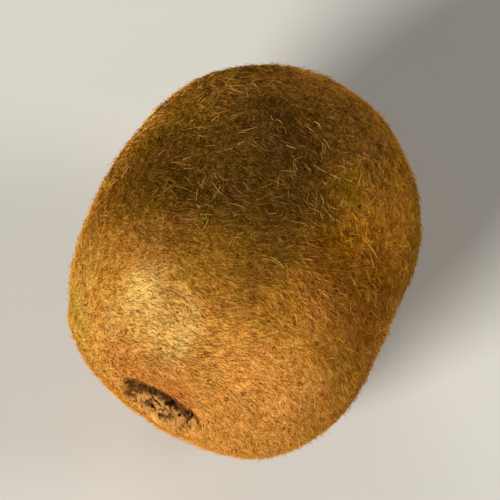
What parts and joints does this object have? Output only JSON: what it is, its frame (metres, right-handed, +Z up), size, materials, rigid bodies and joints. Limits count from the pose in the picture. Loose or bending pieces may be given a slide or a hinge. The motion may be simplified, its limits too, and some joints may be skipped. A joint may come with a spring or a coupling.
{
  "type": "kiwi fruit",
  "caption": "Whole furry brown kiwi fruit, lying on its side on a small flat spot, with a woody stem scar at one end and a tuft of dried styles at the other.",
  "frame": {"origin": "under the middle of the fruit's box, on the flat spot that it rests on", "axes": "+X from the stem end to the blossom end, +Y across the fruit, +Z up"},
  "size_m": [0.0622, 0.0504, 0.0481],
  "materials": {
    "furry_skin": "dry brown skin under a matted felt of short golden-brown hairs, olive brown in the hollows, no gloss",
    "skin_hairs": "fine stiff golden-brown hairs with paler tips, matte with a faint sheen",
    "dried_scar": "dry woody stalk scar, sepal flakes and style stubs, grey-brown to straw, rough"
  },
  "bodies": {
    "root": {"kiwi_fruit": "furry_skin"}
  },
  "joints": []
}
